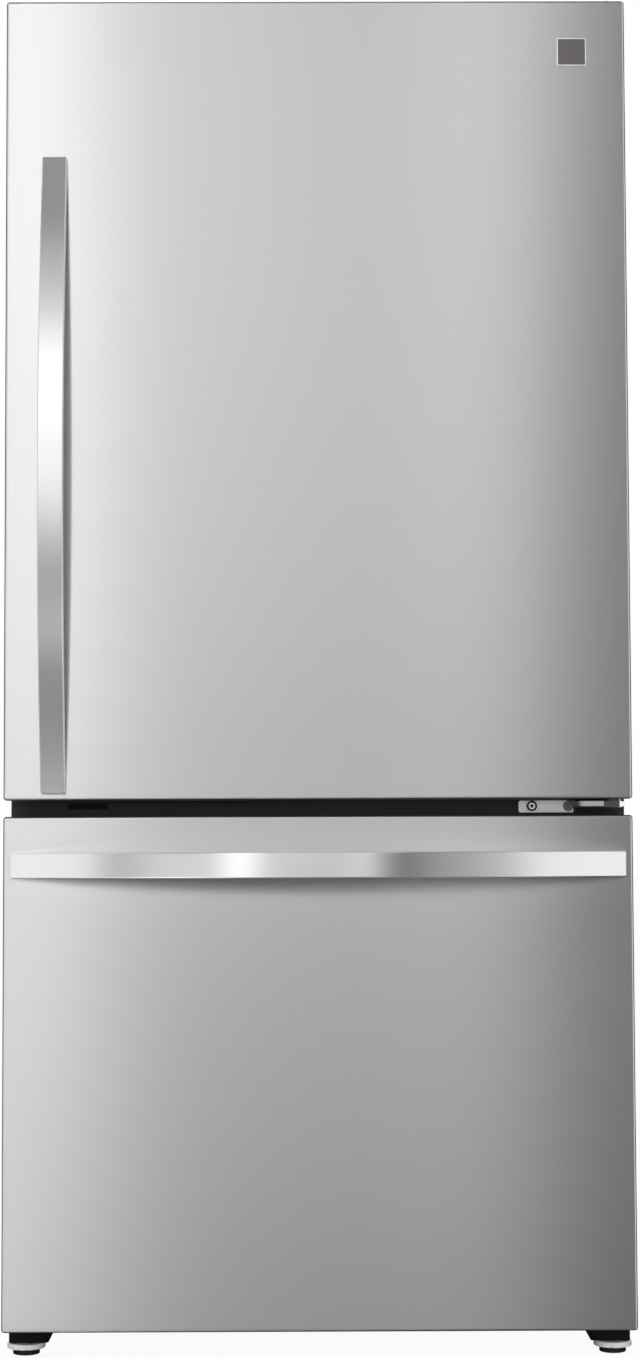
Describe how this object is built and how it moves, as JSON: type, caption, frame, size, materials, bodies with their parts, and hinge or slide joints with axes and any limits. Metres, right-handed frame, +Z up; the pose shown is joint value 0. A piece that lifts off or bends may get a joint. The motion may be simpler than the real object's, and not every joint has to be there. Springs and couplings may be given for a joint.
{
  "type": "bottom freezer refrigerator",
  "caption": "Free-standing refrigerator with a right-hinged upper door over a full-width pull-out freezer drawer, bowed bar handles and levelling feet.",
  "frame": {"origin": "on the floor, at the middle of the whole object's box", "axes": "+X to the right seen from the front, the doors face -Y, +Z up"},
  "size_m": [0.82, 0.834, 1.7985],
  "materials": {
    "stainless": "satin",
    "case_paint": "satin",
    "black_steel": "satin",
    "galvanised_steel": "satin",
    "bright_steel": "satin",
    "white_liner": "gloss",
    "black_plastic": "matte",
    "grey_plastic": "matte",
    "foam": "matte",
    "gasket_rubber": "matte",
    "black_rubber": "matte",
    "clear_plastic": "gloss",
    "shelf_glass": "gloss",
    "coil_aluminium": "satin",
    "badge_metal": "satin",
    "white_plastic": "satin"
  },
  "bodies": {
    "cabinet": {"outer_case": "case_paint", "rear_panel": "galvanised_steel", "cabinet_insulation": "foam", "fridge_liner": "white_liner", "freezer_liner": "white_liner", "base_frame": "black_steel", "centre_mullion": "black_steel", "mullion_cap": "black_plastic", "leg_brackets": "black_steel", "roller_axles": "bright_steel", "top_hinge_bracket": "black_steel", "top_hinge_cover": "black_plastic", "middle_hinge_bracket": "bright_steel", "hinge_bolts": "bright_steel", "shelf_frames": "white_plastic", "shelf_glass": "shelf_glass", "crisper_cover_frame": "white_plastic", "air_duct_panel": "white_plastic", "control_panel": "white_plastic", "drawer_rails_fixed": "galvanised_steel", "evaporator_cover": "white_plastic", "evaporator": "coil_aluminium", "evaporator_fan_motor": "black_plastic", "compressor": "black_steel", "compressor_mounts": "black_rubber", "condenser": "black_steel", "condenser_fan_motor": "black_plastic", "drain_pan": "black_plastic", "machine_cover": "galvanised_steel", "power_gland": "black_plastic"},
    "fridge_door": {"fridge_door_skin": "stainless", "fridge_door_end_caps": "grey_plastic", "fridge_door_insulation": "foam", "fridge_door_liner": "white_liner", "fridge_door_gasket": "gasket_rubber", "fridge_handle": "stainless", "fridge_handle_studs": "bright_steel", "badge_plate": "badge_metal", "door_bins": "clear_plastic"},
    "freezer_drawer": {"freezer_door_skin": "stainless", "freezer_door_end_caps": "grey_plastic", "freezer_door_insulation": "foam", "freezer_door_liner": "white_liner", "freezer_door_gasket": "gasket_rubber", "freezer_handle": "stainless", "freezer_handle_studs": "bright_steel", "drawer_brackets": "galvanised_steel", "freezer_basket": "clear_plastic"},
    "rail_middle": {"drawer_rails_middle": "galvanised_steel"},
    "freezer_tray": {"freezer_tray": "clear_plastic"},
    "crisper_left": {"crisper_left": "clear_plastic"},
    "crisper_right": {"crisper_right": "clear_plastic"},
    "fridge_button": {"fridge_button": "grey_plastic"},
    "freezer_button": {"freezer_button": "grey_plastic"},
    "condenser_fan": {"condenser_fan": "black_plastic"},
    "evaporator_fan": {"evaporator_fan": "white_plastic"},
    "roller_left": {"roller_left": "black_plastic"},
    "roller_right": {"roller_right": "black_plastic"},
    "leveller_left": {"leveller_left": "bright_steel"},
    "leveller_right": {"leveller_right": "bright_steel"}
  },
  "joints": [
    {"name": "fridge_door_hinge", "type": "hinge", "parent": "cabinet", "child": "fridge_door", "pos_m": [0.388, -0.331, 0.724], "axis": [0, 0, 1], "range_deg": [0, 125]},
    {"name": "freezer_drawer_slide", "type": "slide", "parent": "cabinet", "child": "freezer_drawer", "axis": [0, -1, 0], "range_m": [0, 0.42]},
    {"name": "rail_middle_slide", "type": "slide", "parent": "cabinet", "child": "rail_middle", "axis": [0, -1, 0], "range_m": [0, 0.21]},
    {"name": "freezer_tray_slide", "type": "slide", "parent": "cabinet", "child": "freezer_tray", "axis": [0, -1, 0], "range_m": [0, 0.252]},
    {"name": "crisper_left_slide", "type": "slide", "parent": "cabinet", "child": "crisper_left", "axis": [0, -1, 0], "range_m": [0, 0.275]},
    {"name": "crisper_right_slide", "type": "slide", "parent": "cabinet", "child": "crisper_right", "axis": [0, -1, 0], "range_m": [0, 0.275]},
    {"name": "fridge_button_press", "type": "slide", "parent": "cabinet", "child": "fridge_button", "axis": [0, 1, 0], "range_m": [0, 0.0015], "stiffness_N_per_m": 400},
    {"name": "freezer_button_press", "type": "slide", "parent": "cabinet", "child": "freezer_button", "axis": [0, 1, 0], "range_m": [0, 0.0015], "stiffness_N_per_m": 400},
    {"name": "condenser_fan_spin", "type": "hinge", "parent": "cabinet", "child": "condenser_fan", "pos_m": [-0.18, 0.3025, 0.1455], "axis": [1, 0, 0], "continuous": true},
    {"name": "evaporator_fan_spin", "type": "hinge", "parent": "cabinet", "child": "evaporator_fan", "pos_m": [0, 0.261, 0.62825], "axis": [0, -1, 0], "continuous": true},
    {"name": "roller_left_spin", "type": "hinge", "parent": "cabinet", "child": "roller_left", "pos_m": [-0.375, 0.377, 0.015], "axis": [1, 0, 0], "continuous": true},
    {"name": "leveller_left_turn", "type": "hinge", "parent": "cabinet", "child": "leveller_left", "pos_m": [-0.385, -0.291, 0], "axis": [0, 0, 1], "continuous": true},
    {"name": "roller_right_spin", "type": "hinge", "parent": "cabinet", "child": "roller_right", "pos_m": [0.375, 0.377, 0.015], "axis": [1, 0, 0], "continuous": true},
    {"name": "leveller_right_turn", "type": "hinge", "parent": "cabinet", "child": "leveller_right", "pos_m": [0.385, -0.291, 0], "axis": [0, 0, 1], "continuous": true}
  ],
  "couplings": [
    {"joint": "crisper_left_slide", "follows": "fridge_door_hinge", "m_per_rad": 0.125},
    {"joint": "crisper_right_slide", "follows": "fridge_door_hinge", "m_per_rad": 0.125},
    {"joint": "rail_middle_slide", "follows": "freezer_drawer_slide", "ratio": 0.5},
    {"joint": "freezer_tray_slide", "follows": "freezer_drawer_slide", "ratio": 0.6}
  ]
}
